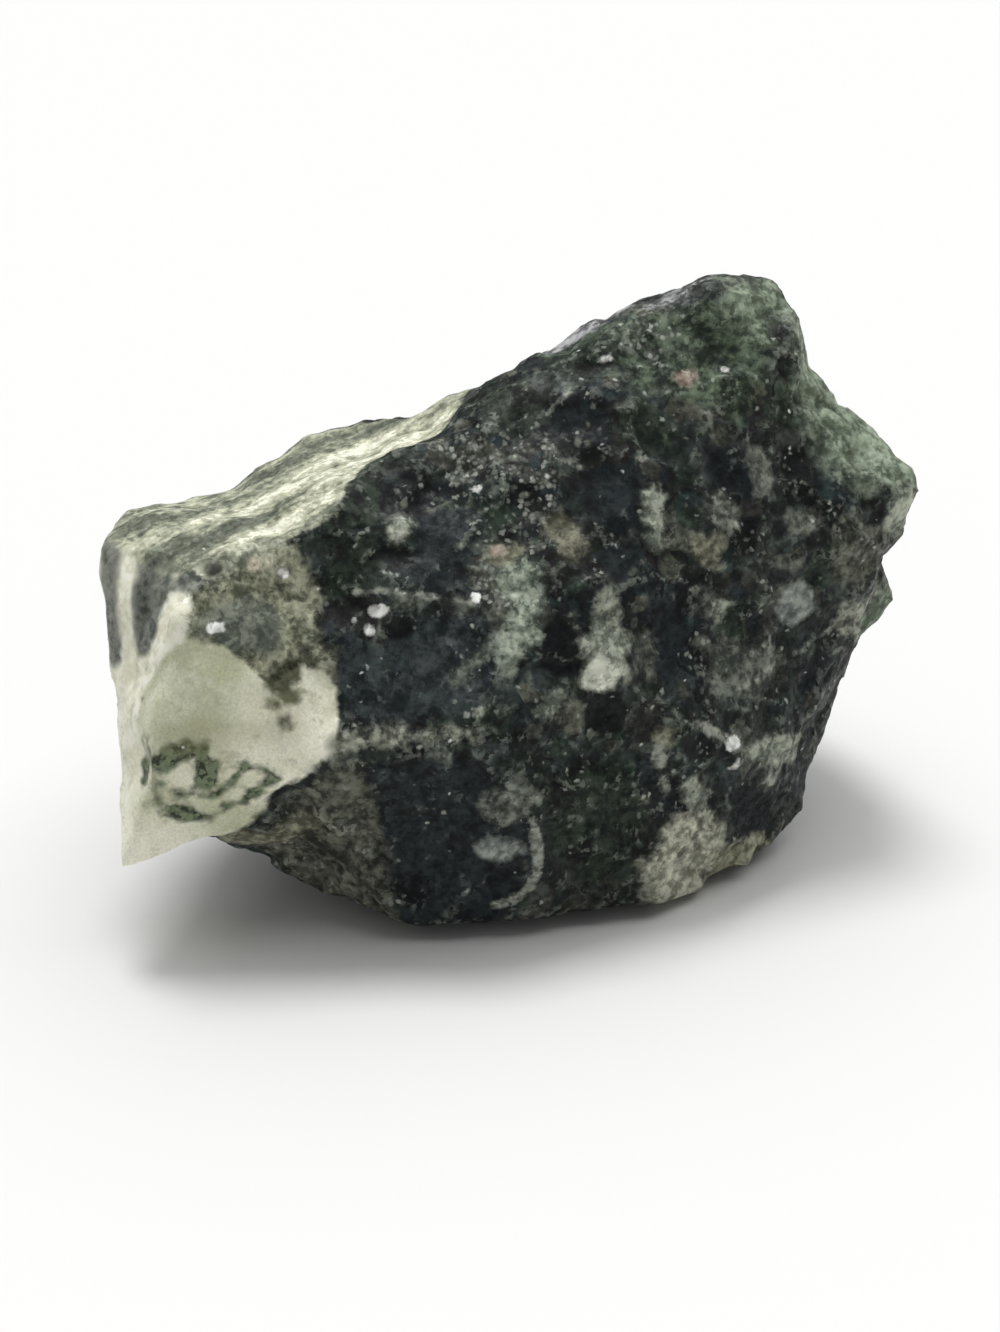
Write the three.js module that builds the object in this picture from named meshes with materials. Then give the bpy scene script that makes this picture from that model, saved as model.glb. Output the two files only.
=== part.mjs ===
// A piece of raw serpentine, broken out of the rock and a little worn along its edges. It is one natural
// stone, so it is one solid. Millimetres, +Z up: X runs along the stone, from its pale left end to its dark
// right end, Y runs from its front to its back, and the origin lies on the flat that the stone rests on.
import * as THREE from "three";
import { ImprovedNoise } from "three/addons/math/ImprovedNoise.js";

// Driving dimensions.
const LONGEST_EDGE = 2.1; // of a triangle of the finished surface
const CUT_ROUNDS = 4; // edges are first cut to four times that length, then in this many rounds to it
const WEAR = { passes: 4, face: 0.7, along: 0.3, ridge: 0.14, corner: 0.1 }; // how far edges are worn
const FULLNESS = 0.05; // added all over, for what the wear takes off
const WAVE = { size: 12, height: 1.3 }; // slow swells of the broken faces
const CHIP = { size: 6.5, height: 1.1, bowl: 0.8, mean: 0.17 }; // dished chips, one to a cell of this size
const GRAIN = { size: 2.9, height: 0.4 }; // coarse grain of the rock
const WAVE_START = [16.7, 27.3, 12.3]; // where in the noise the swells and the grain begin
const CALM_HEIGHT = 2.5; // the relief fades out below this height, so that the resting face stays flat
const CLEARANCE = 0.05; // nothing but the resting face comes nearer to the ground

// A hollow is flat within this share of its radius, and gone beyond this one.
const HOLLOW = { floor: 0.2, lip: 1.1 };

// Small hollows, and lumps where a pebble of the rock stands proud: the middle of each, its radius and its
// depth, which is below nought for a lump.
const HOLLOWS = [
  { at: [-8, -10.8, 27.3], radius: 1.8, depth: 0.8 }, // the pit under the pale pebble
  { at: [-8, -9.2, 28.8], radius: 1.5, depth: -0.5 }, // the pale pebble itself
  { at: [2.2, -13.4, 22.6], radius: 2.4, depth: 0.6 }, // the black pit, in three overlapping parts
  { at: [2.6, -13.1, 20.8], radius: 2.2, depth: 0.5 },
  { at: [3.2, -13.9, 19.3], radius: 1.6, depth: 0.3 },
  { at: [-5.7, -14.9, 20.4], radius: 6.0, depth: 0.9 }, // the smooth dark hollow above the keel
  { at: [6.3, -14.0, 17.1], radius: 1.9, depth: 0.45 },
  { at: [7.0, -12.3, 20.4], radius: 2.4, depth: -0.6 }, // a pale pebble beside the black pit
  { at: [25.4, -0.4, 26.4], radius: 1.8, depth: 0.7 }, // under the nub's crest
  { at: [-20.4, -13.1, 27.9], radius: 1.3, depth: 0.5 }, // the dark lens on the plateau's edge
  { at: [20.9, -3.7, 20.5], radius: 2.0, depth: -0.5 }, // round pebbles in the broad face and low down
  { at: [-1.0, -16.2, 7.9], radius: 2.4, depth: -0.35 },
  { at: [-12.9, -14.9, 6.4], radius: 4.0, depth: 0.7 }, // beneath the lobe
  { at: [14, 20, 22], radius: 4.5, depth: 1.0 }, // at the back
  { at: [-12, 15, 17], radius: 3.5, depth: 0.9 },
  { at: [-2, 17, 20], radius: 2.5, depth: -0.7 },
];

// The stone's corners, each where broken faces meet.
const CORNERS = {
  // The plateau on top, from the left end up to the crown: first its front edge, then its back edge.
  leftTop: [-28.5, -8, 27],
  ridgeTop: [-20, -13, 28],
  browLow: [-15, -11, 29],
  browBend: [-12, -9, 30],
  browNotch: [-9.5, -4, 32],
  browStep: [-4.5, -3, 33],
  browHead: [-4, 0, 34],
  crestLow: [3.5, 2, 36.8],
  crestHigh: [9.5, 4, 40.3],
  crownFront: [16, 4, 41.5],
  leftShoulder: [-27.5, -3, 27.2],
  rimLeft: [-20.5, 2, 27.3],
  rimBend: [-13.5, 6, 30],
  rimMiddle: [-8, 6, 30.5],
  rimRise: [-2.5, 5, 33],
  rimHigh: [3.5, 6, 36.3],
  rimCrest: [9.5, 8, 39.9],
  crownLeft: [14, 8, 40.5],
  crownBack: [19, 9, 40.4],
  crownRight: [20.1, 7, 38.9],
  // The left end, and the pale lobe that hangs out over the ground.
  leftHigh: [-28.5, -9, 23],
  leftMiddle: [-28.2, -12, 17.5],
  leftLow: [-28, -16, 11],
  tip: [-27.2, -19.4, 7.2],
  lobeTop: [-23, -16, 25],
  lobeLeft: [-24.5, -18.5, 20],
  lobeLeftLow: [-24.8, -19.8, 16],
  lobeFoot: [-20.8, -18, 9.2],
  lobeKeel: [-18, -18.5, 12.5],
  lobeRight: [-12.5, -16, 20],
  // The dark front: a brow face above the keel, and the broad face to the right of it.
  nose: [-12, -18, 16.5],
  keelMiddle: [-4.5, -18, 16.5],
  keelRight: [2, -15.5, 19],
  greenFoot: [-13, -13, 25],
  greenPit: [-8, -10.5, 27.5],
  browFace: [-5.5, -13, 23.5],
  stepLow: [2.5, -11.5, 23.5],
  stepHigh: [-1, -6, 31],
  faceLeft: [5.5, -4, 33],
  faceHigh: [12.5, -1.5, 35],
  faceMiddle: [16, -4.5, 28.5],
  faceLow: [9.5, -9.5, 23.5],
  faceRight: [22, -4, 24],
  breakLeft: [9.5, -13.5, 17],
  breakRight: [16, -9.5, 16.5],
  // The front below the keel, down to the resting face.
  frontEdge: [-10.5, -17, 9.5],
  frontLow: [3.5, -16, 10.5],
  frontRight: [12.5, -13, 9.5],
  cheek: [18.5, -8.5, 10],
  // The right side: a green flank, the nub, the narrow face under it and a small knob behind.
  flankTop: [20, 3, 37.5],
  flankBend: [20.5, 2, 33.5],
  flankLow: [23, 1, 29.5],
  nubFront: [27, 0, 27.5],
  neck: [21.7, 6, 34.8],
  shoulder: [24, 5, 32],
  shoulderLow: [26.1, 4, 28.7],
  nubTop: [29.4, 3, 27.4],
  nub: [30, 2, 26.5],
  nubLow: [28.9, 2, 24],
  sliverTop: [27, 0, 24.5],
  sliverMiddle: [25.5, -0.5, 19],
  sliverFoot: [24, -1, 16],
  waist: [27, 3, 19.5],
  knob: [29.4, 6, 15.1],
  knobFoot: [25.8, 4, 13.1],
  hipTop: [23.6, 1, 10.5],
  hip: [23.5, -1, 7],
  hipLow: [21.5, -3, 3],
  toe: [18, -7, 1],
  // The front's lower rim, a little above the ground.
  footLeft: [-8.2, -16.6, 1.5],
  footFront: [-3.2, -17.2, 1.4],
  footRight: [10, -14.2, 1.2],
  // The resting face, flat on the ground.
  restLeft: [-7.5, -13.2, 0],
  restFront: [-3, -13.8, 0],
  restRight: [9.5, -11, 0],
  restHeel: [-9, -3, 0],
  restBackLeft: [-6, 9, 0],
  restBack: [5, 13, 0],
  restBackRight: [14, 6, 0],
  // The underside to the left, between the resting face and the lobe, and the one to the right.
  underFront: [-14, -13, 3],
  underLobe: [-19.5, -12, 5.5],
  heel: [-14, -3, 2.5],
  rightUnder: [19, 3, 2.5],
  // The back, in three rows from the bottom to the top.
  backLowLeft: [-12, 12, 4],
  backLowMiddle: [0, 18, 4],
  backLowRight: [12, 17, 4],
  leftBackLow: [-21, -5, 7.5],
  leftBackMiddle: [-25, -3, 14],
  backMiddleLeft: [-20, 9, 12],
  backMiddle: [-8, 17.5, 17],
  backMiddleRight: [6, 22, 13.5],
  backEnd: [19, 18, 16.5],
  rightMiddle: [26, 12, 14.5],
  leftBackHigh: [-26, 1, 22],
  backHighLeft: [-18, 9, 22],
  backHigh: [-7, 12.5, 25.5],
  backHighMiddle: [4, 15, 26.5],
  backHighRight: [14, 16, 31],
  rightBackHigh: [23, 13, 27],
};

// The broken faces. Each is a ring of corners, anticlockwise from outside, and the height of its middle
// above its rim: below nought where the break is hollow, above nought where it swells.
const FACES = [
  // The pale, streaked plateau and the narrow crest to the right of it.
  [0.4, "leftTop", "ridgeTop", "browLow", "rimLeft", "leftShoulder"],
  [0.3, "browLow", "browBend", "browNotch", "rimMiddle", "rimBend", "rimLeft"],
  [0.2, "browNotch", "browStep", "browHead", "rimRise", "rimMiddle"],
  [0.2, "browHead", "crestLow", "rimHigh", "rimRise"],
  [0.2, "crestLow", "crestHigh", "rimCrest", "rimHigh"],
  [-0.2, "crestHigh", "crownFront", "crownLeft", "rimCrest"],
  [0.3, "crownFront", "crownRight", "crownBack", "crownLeft"],
  // The left end and the pale lobe.
  [-0.3, "leftTop", "leftHigh", "leftMiddle", "lobeLeft", "lobeTop", "ridgeTop"],
  [0.2, "leftMiddle", "leftLow", "tip", "lobeLeftLow", "lobeLeft"],
  [0.7, "lobeTop", "lobeLeft", "lobeLeftLow", "lobeKeel", "nose", "lobeRight"],
  [0.3, "lobeLeftLow", "tip", "lobeFoot", "lobeKeel"],
  [0.4, "ridgeTop", "lobeTop", "lobeRight", "greenFoot", "browLow"],
  // The dark front above the keel.
  [0.4, "browLow", "greenFoot", "greenPit", "browNotch", "browBend"],
  [0.4, "greenFoot", "lobeRight", "nose", "keelMiddle", "browFace", "greenPit"],
  [0.3, "browFace", "keelMiddle", "keelRight", "stepLow"],
  [0.4, "browNotch", "greenPit", "browFace", "stepLow", "stepHigh", "browStep"],
  [0.3, "browStep", "stepHigh", "faceLeft", "crestLow", "browHead"],
  [0.4, "crestLow", "faceLeft", "faceHigh", "crestHigh"],
  [0.4, "crestHigh", "faceHigh", "flankTop", "crownRight", "crownFront"],
  [0.5, "stepHigh", "stepLow", "faceLow", "faceMiddle", "faceLeft"],
  [0.3, "faceLeft", "faceMiddle", "faceHigh"],
  [0.4, "faceHigh", "faceMiddle", "flankLow", "flankBend", "flankTop"],
  [-0.4, "faceMiddle", "faceRight", "sliverTop", "nubFront", "flankLow"],
  [0.2, "faceRight", "sliverFoot", "sliverMiddle", "sliverTop"],
  [0.3, "faceMiddle", "faceLow", "breakRight", "sliverFoot", "faceRight"],
  [0.3, "stepLow", "keelRight", "breakLeft", "breakRight", "faceLow"],
  // The front below the keel.
  [0.5, "nose", "frontEdge", "footLeft", "footFront", "frontLow", "keelMiddle"],
  [0.3, "keelMiddle", "frontLow", "breakLeft", "keelRight"],
  [0.5, "frontLow", "footFront", "footRight", "frontRight", "breakLeft"],
  [0.2, "breakLeft", "frontRight", "breakRight"],
  [0.5, "frontRight", "footRight", "toe", "hipLow", "cheek"],
  [0.2, "breakRight", "frontRight", "cheek"],
  [0.3, "breakRight", "cheek", "hipTop", "sliverFoot"],
  [0.3, "cheek", "hipLow", "hip", "hipTop"],
  [0.1, "sliverFoot", "hipTop", "knobFoot"],
  [-0.5, "nose", "lobeKeel", "lobeFoot", "underLobe", "underFront", "footLeft", "frontEdge"],
  // The right side.
  [-0.3, "crownRight", "flankTop", "flankBend", "shoulder", "neck"],
  [0.2, "flankBend", "flankLow", "shoulderLow", "shoulder"],
  [0.2, "flankLow", "nubFront", "nub", "nubTop", "shoulderLow"],
  [0.2, "nubFront", "sliverTop", "nubLow", "nub"],
  [0.1, "sliverTop", "sliverMiddle", "waist", "nubLow"],
  [-0.2, "sliverMiddle", "sliverFoot", "knobFoot", "waist"],
  [0.5, "waist", "knobFoot", "knob"],
  [-0.8, "hipLow", "rightUnder", "rightMiddle", "knob", "knobFoot", "hipTop", "hip"],
  [-0.7, "waist", "knob", "rightMiddle", "rightBackHigh", "nubTop", "nub", "nubLow"],
  [0.5, "shoulder", "shoulderLow", "nubTop", "rightBackHigh", "backHighRight", "neck"],
  [0.2, "crownRight", "neck", "backHighRight", "crownBack"],
  // The underside.
  [0, "restFront", "restLeft", "restHeel", "restBackLeft", "restBack", "restBackRight", "restRight"],
  [-0.6, "tip", "leftLow", "leftBackLow", "underLobe", "lobeFoot"],
  [-0.3, "underFront", "underLobe", "leftBackLow", "heel"],
  [0.2, "restLeft", "underFront", "heel", "restHeel"],
  [0, "footLeft", "underFront", "restLeft"],
  [-0.2, "footFront", "footLeft", "restLeft", "restFront"],
  [-0.2, "footRight", "footFront", "restFront", "restRight"],
  [0, "footRight", "restRight", "toe"],
  [0.2, "restRight", "restBackRight", "rightUnder", "toe"],
  [0.1, "toe", "rightUnder", "hipLow"],
  // The back.
  [0.5, "leftTop", "leftShoulder", "leftBackHigh", "leftBackMiddle", "leftMiddle", "leftHigh"],
  [-0.4, "leftMiddle", "leftBackMiddle", "leftBackLow", "leftLow"],
  [-0.9, "rimLeft", "rimBend", "backHighLeft", "leftBackHigh", "leftShoulder"],
  [0.4, "rimMiddle", "rimRise", "backHigh", "backHighLeft", "rimBend"],
  [-0.8, "rimHigh", "rimCrest", "backHighMiddle", "backHigh", "rimRise"],
  [0.6, "crownLeft", "crownBack", "backHighRight", "backHighMiddle", "rimCrest"],
  [0.6, "leftBackHigh", "backHighLeft", "backMiddleLeft", "leftBackMiddle"],
  [0.4, "leftBackMiddle", "backMiddleLeft", "backLowLeft", "leftBackLow"],
  [-0.6, "leftBackLow", "backLowLeft", "restBackLeft", "restHeel", "heel"],
  [-1.2, "backHighLeft", "backHigh", "backMiddle", "backMiddleLeft"],
  [0.7, "backMiddleLeft", "backMiddle", "backLowMiddle", "backLowLeft"],
  [0.2, "backLowLeft", "backLowMiddle", "restBack", "restBackLeft"],
  [0.9, "backHigh", "backHighMiddle", "backMiddleRight", "backMiddle"],
  [-0.9, "backMiddle", "backMiddleRight", "backLowRight", "backLowMiddle"],
  [0.3, "backLowMiddle", "backLowRight", "restBackRight", "restBack"],
  [-0.6, "backHighMiddle", "backHighRight", "backEnd", "backMiddleRight"],
  [0.8, "backHighRight", "rightBackHigh", "rightMiddle", "backEnd"],
  [0.3, "backMiddleRight", "backEnd", "backLowRight"],
  [-0.7, "backEnd", "rightMiddle", "rightUnder", "backLowRight"],
  [0.2, "backLowRight", "rightUnder", "restBackRight"],
];

const edgeKey = (a, b) => (a < b ? `${a} ${b}` : `${b} ${a}`);
const edgesOf = ([a, b, c]) => [[a, b], [b, c], [c, a]];

// The stone as its corners give it: each face is a fan of triangles round its middle. The edges between
// faces are remembered as ridges.
function brokenStone() {
  const names = Object.keys(CORNERS);
  const points = names.map((name) => new THREE.Vector3(...CORNERS[name]));
  const triangles = [];
  const ridges = new Set();
  for (const [swell, ...ring] of FACES) {
    const corners = ring.map((name) => names.indexOf(name));
    const middle = new THREE.Vector3();
    corners.forEach((corner) => middle.addScaledVector(points[corner], 1 / corners.length));
    const outward = new THREE.Vector3();
    corners.forEach((corner, i) => {
      const next = corners[(i + 1) % corners.length];
      outward.add(points[corner].clone().sub(middle).cross(points[next].clone().sub(middle)));
    });
    const centre = points.push(middle.addScaledVector(outward.normalize(), swell)) - 1;
    corners.forEach((corner, i) => {
      const next = corners[(i + 1) % corners.length];
      triangles.push([corner, next, centre]);
      ridges.add(edgeKey(corner, next));
    });
  }
  return { points, triangles, ridges };
}

// Halves every edge longer than a limit, on both triangles that share it.
function halveEdges({ points, triangles, ridges }, limit) {
  const halves = new Map();
  const halfway = (a, b) => {
    const key = edgeKey(a, b);
    if (points[a].distanceTo(points[b]) <= limit) return -1;
    if (!halves.has(key)) {
      const half = points.push(points[a].clone().lerp(points[b], 0.5)) - 1;
      halves.set(key, half);
      if (ridges.delete(key)) ridges.add(edgeKey(a, half)).add(edgeKey(half, b));
    }
    return halves.get(key);
  };
  return triangles.flatMap((triangle) => {
    const [ab, bc, ca] = edgesOf(triangle).map(([from, to]) => halfway(from, to));
    const [a, b, c] = triangle;
    const cut = [ab, bc, ca].filter((half) => half >= 0).length;
    if (cut === 0) return [triangle];
    if (cut === 3) return [[a, ab, ca], [ab, b, bc], [ca, bc, c], [ab, bc, ca]];
    // Turn the triangle until its first edge is cut and its last edge isn't.
    if (ab >= 0 && ca < 0) return oneOrTwoCuts(a, b, c, ab, bc);
    if (bc >= 0 && ab < 0) return oneOrTwoCuts(b, c, a, bc, ca);
    return oneOrTwoCuts(c, a, b, ca, ab);
  });
}

function oneOrTwoCuts(a, b, c, ab, bc) {
  if (bc < 0) return [[a, ab, c], [ab, b, c]];
  return [[ab, b, bc], [a, ab, bc], [a, bc, c]];
}

// Which points each point is joined to, and which of those joins are ridges.
function neighboursOf({ points, triangles, ridges }) {
  const around = points.map(() => new Set());
  const along = points.map(() => new Set());
  for (const triangle of triangles)
    for (const [a, b] of edgesOf(triangle)) {
      around[a].add(b);
      around[b].add(a);
    }
  for (const key of ridges) {
    const [a, b] = key.split(" ").map(Number);
    along[a].add(b);
    along[b].add(a);
  }
  return { around, along };
}

const average = (points, members) => {
  const sum = new THREE.Vector3();
  members.forEach((member) => sum.add(points[member]));
  return sum.divideScalar(members.size);
};

// Wears the stone: a point inside a face moves to the middle of its neighbours, a point on a ridge mostly
// along the ridge, and a corner a little. A point of the resting face stays on the ground.
function wear(stone) {
  const { around, along } = neighboursOf(stone);
  const onGround = stone.points.map((point) => point.z === 0);
  for (let pass = 0; pass < WEAR.passes; pass++)
    stone.points = stone.points.map((point, i) => {
      const pull = average(stone.points, around[i]);
      const moved = point.clone();
      if (along[i].size === 0) moved.lerp(pull, WEAR.face);
      else if (along[i].size > 2) moved.lerp(pull, WEAR.corner);
      else moved.lerp(average(stone.points, along[i]), WEAR.along).lerp(pull, WEAR.ridge);
      if (onGround[i]) moved.z = 0;
      return moved;
    });
}

const perlin = new ImprovedNoise();
const waveAt = (point, size) => {
  const at = point.clone().divideScalar(size).add(new THREE.Vector3(...WAVE_START));
  return perlin.noise(at.x, at.y, at.z);
};

// A repeatable number from 0 to 1 for a cell of a grid: its place is turned into a long decimal, and only
// the end of that is kept.
const STIR = { i: 127.1, j: 311.7, k: 74.7, n: 53.3, spread: 43758.5453 };
const scatter = (i, j, k, n) => {
  const decimal = Math.sin(i * STIR.i + j * STIR.j + k * STIR.k + n * STIR.n) * STIR.spread;
  return decimal - Math.floor(decimal);
};

// The height of chipped rock over its mean: each cell of a grid has one tilted dish, and the lowest shows.
function chipAt(point) {
  const at = point.clone().divideScalar(CHIP.size);
  const cell = at.clone().floor();
  let lowest = Infinity;
  for (const i of [-1, 0, 1])
    for (const j of [-1, 0, 1])
      for (const k of [-1, 0, 1]) {
        const here = [cell.x + i, cell.y + j, cell.z + k];
        const random = (n) => scatter(...here, n);
        const middle = new THREE.Vector3(...here).add(new THREE.Vector3(random(1), random(2), random(3)));
        const tilt = new THREE.Vector3(random(4), random(5), random(6)).subScalar(0.5);
        const away = at.clone().sub(middle);
        lowest = Math.min(lowest, away.dot(tilt) + CHIP.bowl * away.lengthSq());
      }
  return lowest - CHIP.mean;
}

// How far a point is sunk by the small hollows.
function hollowAt(point) {
  let depth = 0;
  for (const hollow of HOLLOWS) {
    const away = point.distanceTo(new THREE.Vector3(...hollow.at)) / hollow.radius;
    depth += hollow.depth * (1 - THREE.MathUtils.smoothstep(away, HOLLOW.floor, HOLLOW.lip));
  }
  return depth;
}

// Raises and sinks the surface along its own normals.
function addRelief(geometry) {
  geometry.computeVertexNormals();
  const { position, normal } = geometry.attributes;
  const point = new THREE.Vector3();
  const outward = new THREE.Vector3();
  for (let i = 0; i < position.count; i++) {
    point.fromBufferAttribute(position, i);
    outward.fromBufferAttribute(normal, i);
    if (point.z === 0) continue;
    const height =
      FULLNESS +
      WAVE.height * waveAt(point, WAVE.size) +
      CHIP.height * chipAt(point) +
      GRAIN.height * waveAt(point, GRAIN.size) -
      hollowAt(point);
    point.addScaledVector(outward, height * THREE.MathUtils.smoothstep(point.z, 0, CALM_HEIGHT));
    position.setXYZ(i, point.x, point.y, Math.max(point.z, CLEARANCE));
  }
  geometry.deleteAttribute("normal");
}

function stoneGeometry() {
  const stone = brokenStone();
  for (let round = CUT_ROUNDS; round >= 0; round--)
    stone.triangles = halveEdges(stone, LONGEST_EDGE * Math.SQRT2 ** round);
  wear(stone);
  const geometry = new THREE.BufferGeometry().setFromPoints(stone.points);
  geometry.setIndex(stone.triangles.flat());
  addRelief(geometry);
  geometry.computeVertexNormals();
  return geometry;
}

const stone = new THREE.Mesh(
  stoneGeometry(),
  new THREE.MeshStandardMaterial({ color: 0x39423f, roughness: 0.5, metalness: 0 }),
);
stone.name = "stone";

const piece = new THREE.Group();
piece.add(stone);
export default piece;
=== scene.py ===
import math

import bpy
import numpy as np
from mathutils import Matrix, Vector, kdtree, noise


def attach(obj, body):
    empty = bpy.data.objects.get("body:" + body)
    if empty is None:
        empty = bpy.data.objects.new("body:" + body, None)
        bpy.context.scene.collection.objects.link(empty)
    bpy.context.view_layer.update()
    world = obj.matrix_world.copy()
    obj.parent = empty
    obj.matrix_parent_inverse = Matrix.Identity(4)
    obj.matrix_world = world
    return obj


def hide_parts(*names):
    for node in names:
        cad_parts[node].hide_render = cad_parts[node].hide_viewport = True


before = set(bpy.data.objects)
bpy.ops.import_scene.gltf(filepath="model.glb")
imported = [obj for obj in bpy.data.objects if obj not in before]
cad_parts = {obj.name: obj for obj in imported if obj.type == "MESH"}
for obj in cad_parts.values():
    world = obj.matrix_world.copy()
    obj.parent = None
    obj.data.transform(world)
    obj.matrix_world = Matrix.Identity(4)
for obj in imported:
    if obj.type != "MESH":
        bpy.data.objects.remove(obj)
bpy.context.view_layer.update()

# The stone
# The real piece is one broken lump of raw serpentine, 58 mm long: dark clasts and grains in a waxy rock,
# with a pale streaked top and a pale lobe. It is made from the CAD solid, remeshed finely, then chipped,
# grained and streaked along its own normals. Where each kind of rock lies is stored on the mesh in mm.

MM = 0.001
GRID = 0.31
SMOOTHING_ROUNDS = 2

cad_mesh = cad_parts["stone"].data.copy()
cad_mesh.transform(Matrix.Scale(1 / MM, 4))
coarse_stone = bpy.data.objects.new("coarse_stone", cad_mesh)
bpy.context.scene.collection.objects.link(coarse_stone)
fine_grid = coarse_stone.modifiers.new("fine grid", "REMESH")
fine_grid.mode = "VOXEL"
fine_grid.voxel_size = GRID
graph = bpy.context.evaluated_depsgraph_get()
stone_mesh = bpy.data.meshes.new_from_object(coarse_stone.evaluated_get(graph))
bpy.data.objects.remove(coarse_stone)

point_count = len(stone_mesh.vertices)
edge_ends = np.empty(len(stone_mesh.edges) * 2, np.int64)
stone_mesh.edges.foreach_get("vertices", edge_ends)
edge_ends = edge_ends.reshape(-1, 2)
neighbour_count = np.bincount(edge_ends.ravel(), minlength=point_count)[:, None]


def read_mesh(what):
    """The points' places ("co") or outward directions ("normal"), one row for each point."""
    flat = np.empty(point_count * 3)
    stone_mesh.vertices.foreach_get(what, flat)
    return flat.reshape(-1, 3)


def write_places(values):
    """Moves the mesh's points to these places."""
    stone_mesh.vertices.foreach_set("co", values.ravel())
    stone_mesh.update()


def smoothed(values, rounds):
    """Each value moved half way to the average of its neighbours, again and again."""
    for _ in range(rounds):
        total = np.zeros_like(values)
        for column in range(values.shape[1]):
            total[:, column] += np.bincount(edge_ends[:, 0], values[edge_ends[:, 1], column], point_count)
            total[:, column] += np.bincount(edge_ends[:, 1], values[edge_ends[:, 0], column], point_count)
        values = (values + total / neighbour_count) / 2
    return values


def noise_of(points, size, octaves=1):
    """Smooth noise from about -1 to 1 whose lumps are about this size in mm.

    Each further octave has lumps finer by a steady step, and fades by a steady fall.
    """
    scaled = points / size
    if octaves == 1:
        return np.array([noise.noise(point) for point in scaled])
    fall = 0.8
    step = 2.1
    return np.array([noise.fractal(point, fall, step, octaves) for point in scaled])


def fade(values, start, end):
    """0 where a value is at start, 1 where it is at end, and smooth between."""
    share = np.clip((values - start) / (end - start), 0, 1)
    return share * share * (3 - 2 * share)


write_places(smoothed(read_mesh("co"), SMOOTHING_ROUNDS))
places = read_mesh("co")


def distance_to_side(points, start, end):
    """How far each point is from the straight side between two corners."""
    side = end - start
    share = np.clip((points - start) @ side / (side @ side), 0, 1)
    return np.linalg.norm(points - start - share[:, None] * side, axis=1)


def patch(corners, reach=3.0):
    """How deep each point of the surface lies inside an outline drawn on the stone, in mm.

    The outline is laid on its own middle plane, and counts only within reach of that plane.
    """
    corners = np.array(corners, float)
    middle = corners.mean(0)
    across, along, out = np.linalg.svd(corners - middle)[2]
    turn = np.array([across, along]).T
    flat = (places - middle) @ turn
    outline = (corners - middle) @ turn
    nearest = np.full(point_count, np.inf)
    inside = np.zeros(point_count, bool)
    for start, end in zip(outline, np.roll(outline, -1, 0)):
        nearest = np.minimum(nearest, distance_to_side(flat, start, end))
        spans = (start[1] > flat[:, 1]) != (end[1] > flat[:, 1])
        if spans.any():
            lean = (end[0] - start[0]) / (end[1] - start[1])
            inside ^= spans & (flat[:, 0] < start[0] + (flat[:, 1] - start[1]) * lean)
    depth = np.where(inside, nearest, -nearest)
    return np.minimum(depth, reach - np.abs((places - middle) @ out))


def spot(centre, radius, along=(1, 0, 0), stretch=1.0):
    """How deep each point lies inside a ball, or one stretched along a direction, in mm."""
    along = np.array(along, float)
    along /= np.linalg.norm(along)
    offset = places - np.array(centre, float)
    offset += np.outer(offset @ along * (1 / stretch - 1), along)
    return radius - np.linalg.norm(offset, axis=1)


def band(route, half_width):
    """How deep each point lies inside a band along a route over the surface, in mm."""
    route = np.array(route, float)
    nearest = [distance_to_side(places, start, end) for start, end in zip(route, route[1:])]
    return half_width - np.minimum.reduce(nearest)


def join(*depths):
    """The deepest of several, so that patches of one kind become one."""
    return np.maximum.reduce(depths)


# Each kind of rock, with a few painted shades and highlights among them, laid out in millimetres on the
# surface. A number added to an outline's depth makes it that much wider.

kinds = {}

kinds["lobe"] = join(
    patch([(-23, -15.5, 24.5), (-22, -16, 23.5), (-20, -16, 23.5), (-18.5, -16, 22.5), (-17, -16.5, 21),
           (-16.5, -17, 20.5), (-14.5, -15.5, 21.5), (-13, -15, 21), (-12, -16, 20), (-12, -17.5, 16.5),
           (-15, -18, 14), (-20, -18.5, 10), (-26.5, -19, 7), (-28, -19, 8), (-26.5, -18.5, 13),
           (-26, -16, 16), (-25.5, -15.5, 19), (-24.5, -15.5, 21)], 5),
    spot((-26.5, -18.5, 8.5), 2.6),
    patch([(-15.5, -18, 13.8), (-20, -18, 10.5), (-26, -18.5, 7.5), (-25, -16, 8),
           (-19, -16.5, 10)], 1.2),
)
kinds["milk"] = join(
    spot((-14.5, -16.5, 17.5), 3.4, (1, 0, -0.5), 1.4),
    spot((-17, -17.5, 16.4), 2, (1, 0, 0.3), 1.8),
    spot((-15.5, -17.8, 14.2), 1.5, (1, 0, 0.6), 2),
    spot((-26, -18, 9), 3.2, (1, 0, -0.2), 1.5),
    spot((-25.8, -17, 14), 1.5, (0, 0, 1), 2),
    spot((-22.6, -18.5, 14.4), 1),
)
kinds["plateau"] = patch(
    [(-29, -3, 27.5), (-22, 1.5, 28), (-15.5, 5, 29), (-9.5, 6, 30.5), (-3, 5, 33), (-4.5, 0, 32.5),
     (-7, -2.5, 32), (-10, -3, 31), (-12, -9, 30), (-14.5, -10.5, 29), (-16.5, -12, 28.5),
     (-20.5, -13.7, 27), (-24, -12, 26.8), (-27.5, -8.5, 26.8), (-29, -6, 26.5)], 3.4)
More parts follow.
